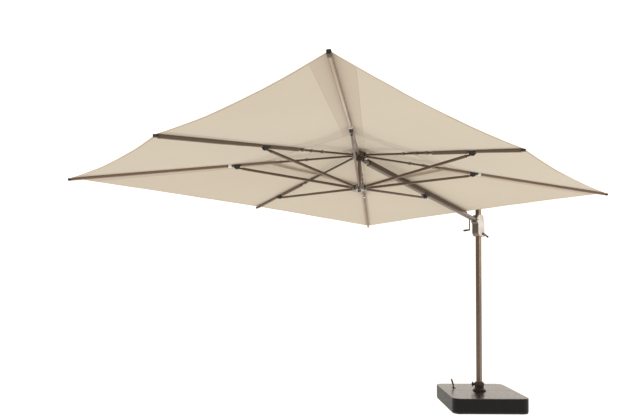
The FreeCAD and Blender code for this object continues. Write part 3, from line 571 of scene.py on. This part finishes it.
def make_canopy():
    main_shape = (fabric_on_rib, VENT_SHARE, CLOTH_END_SHARE, EDGE_CUT, PANEL_SAG)
    cap_shape = (vent_cap_on_rib, CROWN_SHARE, VENT_CAP_SHARE, VENT_EDGE_CUT, VENT_SAG)
    for name in RIB_ORDER:
        # the main gores carry the band of painted shade along their rib
        main = gore(f"canopy_gore_{name}", name, main_shape, MAIN_ROWS, CANVAS_PAINTED_SHADE)
        gather(main, name)
        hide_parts(f"canopy_{name}")
        cap = gore(f"vent_gore_{name}", name, cap_shape, VENT_ROWS, CANVAS)
        gather(cap, name)
        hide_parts("vent_cap")
    crown()


# -------------------------------------------------------- sleeves and trim
def rib_frame(name):
    """The level direction across the rib, and the direction above it, square to both."""
    along = (rib_axis(name, reach(name)) - rib_axis(name, PIVOT_RADIUS)).normalized()
    across = sideways(name)
    return across, across.cross(along) * -1


def along_rib(piece_name, name, sections, materials):
    """A closed skin over cross-sections given as (radius, [(across, above), ...])."""
    across, above = rib_frame(name)
    points = []
    for radius, outline in sections:
        middle = rib_axis(name, radius)
        points += [middle + across * a + above * b for a, b in outline]
    count = len(sections[0][1])
    faces = []
    for r in range(len(sections) - 1):
        for c in range(count):
            d = (c + 1) % count
            low = r * count
            faces.append((low + c, low + d, low + count + d, low + count + c))
    faces.append(tuple(reversed(range(count))))
    last = (len(sections) - 1) * count
    faces.append(tuple(range(last, last + count)))
    piece = add_mesh(piece_name, points, faces, materials)
    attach(piece, rib_body(name))
    return piece


def rounded_box(half_width, low, high, corner):
    """A rounded rectangle as (across, above) points."""
    outline = []
    for k, (a, b) in enumerate(
        (
            (half_width - corner, high - corner), (corner - half_width, high - corner),
            (corner - half_width, low + corner), (half_width - corner, low + corner),
        )
    ):
        for step in range(4):
            angle = math.radians(90 * k + 30 * step)
            outline.append((a + corner * math.cos(angle), b + corner * math.sin(angle)))
    return outline


def sleeve_drop(name):
    """How far below the rib's middle line its sleeve reaches."""
    if name == "east":
        return ARM_SIDE_SLEEVE_DROP
    return CORNER_SLEEVE_DROP if name in CORNERS else SLEEVE_DROP


def sleeve(piece_name, name, start, end, seed):
    """The cloth pocket that the rib runs in: a little slack, and shallow beyond the strut's bracket."""
    low = -sleeve_drop(name)
    steps = max(3, int((end - start) / 0.02))
    shallow = max(low, -CORNER_SLEEVE_DROP)
    sections = []
    for k in range(steps + 1):
        radius = start + (end - start) * k / steps
        slack = 0.0012 * noise.noise(Vector((radius * 14.0, seed, 0.0)))
        lean = 0.0010 * noise.noise(Vector((radius * 9.0, seed, 5.0)))
        deepening = smooth((radius - BRACKET_RADIUS) / SLEEVE_DEEPENING)
        bottom = low
        if radius > BRACKET_RADIUS:
            bottom += (shallow - low) * (1 - deepening)
        box = rounded_box(SLEEVE_HALF_WIDTH + slack, bottom - max(0.0, slack), SLEEVE_TOP, 0.004)
        sections.append((radius, [(a + lean, b) for a, b in box]))
    # corner sleeves get the sleeve cloth with painted light
    return along_rib(piece_name, name, sections, [CORNER_SLEEVE_PAINTED_LIGHT if name in CORNERS else SLEEVE])


def plain_run(piece_name, name, start, end, half_width, low, high, material):
    """A straight strip or band along a rib."""
    box = rounded_box(half_width, low, high, min(0.001, half_width / 2))
    return along_rib(piece_name, name, [(start, box), (end, box)], [material])


def dashes(piece_name, name, start, end):
    """A row of heavy hand stitches along one lower edge of a sleeve."""
    across, above = rib_frame(name)
    points, faces = [], []
    radius = start
    while radius < end:
        low = len(points)
        for r in (radius, radius + DASH_LENGTH):
            middle = rib_axis(name, r)
            for a, b in ((0.0098, -0.0103), (0.0122, -0.0103), (0.0122, -0.0057), (0.0098, -0.0057)):
                points.append(middle + across * a + above * b)
        for c in range(4):
            d = (c + 1) % 4
            faces.append((low + c, low + d, low + 4 + d, low + 4 + c))
        faces.append((low + 3, low + 2, low + 1, low))
        faces.append((low + 4, low + 5, low + 6, low + 7))
        radius += DASH_PITCH
    piece = add_mesh(piece_name, points, faces, [THREAD], smooth_faces=False)
    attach(piece, rib_body(name))
    return piece


def make_trim():
    for seed, name in enumerate(RIB_ORDER):
        end = reach(name) - TIP_CAP_LENGTH
        bracket_in = BRACKET_RADIUS - BRACKET_HALF_LENGTH
        bracket_out = BRACKET_RADIUS + BRACKET_HALF_LENGTH
        if name in CORNERS:
            bracket_out = BRACKET_RADIUS + BRACKET_WITH_COLLAR
            collar = plain_run(
                f"collar_sleeve_{name}", name, BRACKET_RADIUS + 0.0475, BRACKET_RADIUS + 0.0765,
                0.0129, -0.0119, 0.0119, WHITE,
            )
        if name == "east":
            sleeve("rib_sleeve_east", name, SLEEVE_START, end, seed)
        else:
            sleeve(f"rib_sleeve_inner_{name}", name, SLEEVE_START, bracket_in, seed)
            sleeve(f"rib_sleeve_outer_{name}", name, bracket_out, end, seed + 0.5)
            for k, radius in enumerate(STRAP_RADII if name != "southwest" else ()):
                strap = plain_run(
                    f"rib_strap_{name}_{k}", name, radius, radius + STRAP_WIDTH,
                    0.0112, -0.0105, 0.0105, SLEEVE,
                )
        if name == "southwest":
            tape = plain_run(
                f"rib_tape_{name}", name, bracket_out + 0.01, end - 0.01, 0.0066,
                -sleeve_drop(name) - 0.0022, -sleeve_drop(name) + 0.001, TAPE,
            )
        if name in ("southwest", "northwest"):
            dashes(f"rib_stitches_{name}", name, *STITCHED_RUN)


def make_finial():
    """The low button that closes the top of the vent cap."""
    points, faces = [], []
    rings = ((0.030, -0.0005), (0.030, 0.0025), (0.024, 0.0050), (0.012, 0.0062))  # radius, rise
    count = 32
    for radius, rise in rings:
        for k in range(count):
            angle = 2 * math.pi * k / count
            spot = Vector((radius * math.cos(angle), radius * math.sin(angle), rise))
            points.append(HUB_AXIS + UP * VENT_CAP_PEAK_Z + spot)
    for r in range(len(rings) - 1):
        for k in range(count):
            after = (k + 1) % count
            low = r * count
            faces.append((low + k, low + after, low + count + after, low + count + k))
    faces.append(tuple(range((len(rings) - 1) * count, len(rings) * count)))
    faces.append(tuple(reversed(range(count))))
    button = add_mesh("vent_button", points, faces, [BLACK])
    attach(button, "hub")


# -------------------------------------------------------------------- run
def make_world():
    """A white backdrop in front of the camera that falls off to a dim room behind it."""
    world = bpy.data.worlds.new("studio")
    world.use_nodes = True
    tree = world.node_tree
    background = tree.nodes["Background"]
    background.inputs["Color"].default_value = (1.0, 0.915, 0.83, 1)
    direction = tree.nodes.new("ShaderNodeTexCoord")
    facing = tree.nodes.new("ShaderNodeVectorMath")
    facing.operation = "DOT_PRODUCT"
    facing.inputs[1].default_value = (math.cos(CAMERA_YAW), math.sin(CAMERA_YAW), 0)
    fall = tree.nodes.new("ShaderNodeMapRange")
    fall.interpolation_type = "SMOOTHSTEP"
    for key, value in WORLD_FALL.items():
        fall.inputs[key].default_value = value
    tree.links.new(direction.outputs["Generated"], facing.inputs[0])
    tree.links.new(facing.outputs["Value"], fall.inputs["Value"])
    tree.links.new(fall.outputs["Result"], background.inputs["Strength"])
    bpy.context.scene.world = world


def make_floor():
    """A white light-box floor: it shines softly up on the underside of the canopy."""
    half = FLOOR_SIZE / 2
    corners = [(-half, -half, 0), (half, -half, 0), (half, half, 0), (-half, half, 0)]
    n = Nodes("floor")
    glow = n.add("Emission", {"Color": (1.0, 0.955, 0.885, 1), "Strength": FLOOR_GLOW})
    floor = add_mesh("floor", corners, [(0, 1, 2, 3)], [n.finish(glow.outputs[0])])
    floor.location.z = -0.001


bpy.context.scene.view_settings.view_transform = "Standard"
make_camera()
make_world()
area_light("softbox", (2.6, -2.6, 2.6), (-0.1, 0, 2.1), (1.6, 1.8), 46, (1.0, 0.93, 0.86))
area_light("sky", (-1.0, -4.0, 9.0), (-2.3, 0, 2.6), (6, 6), 300, (1.0, 0.98, 0.95))
make_floor()
paint_frame()
make_canopy()
make_trim()
make_finial()
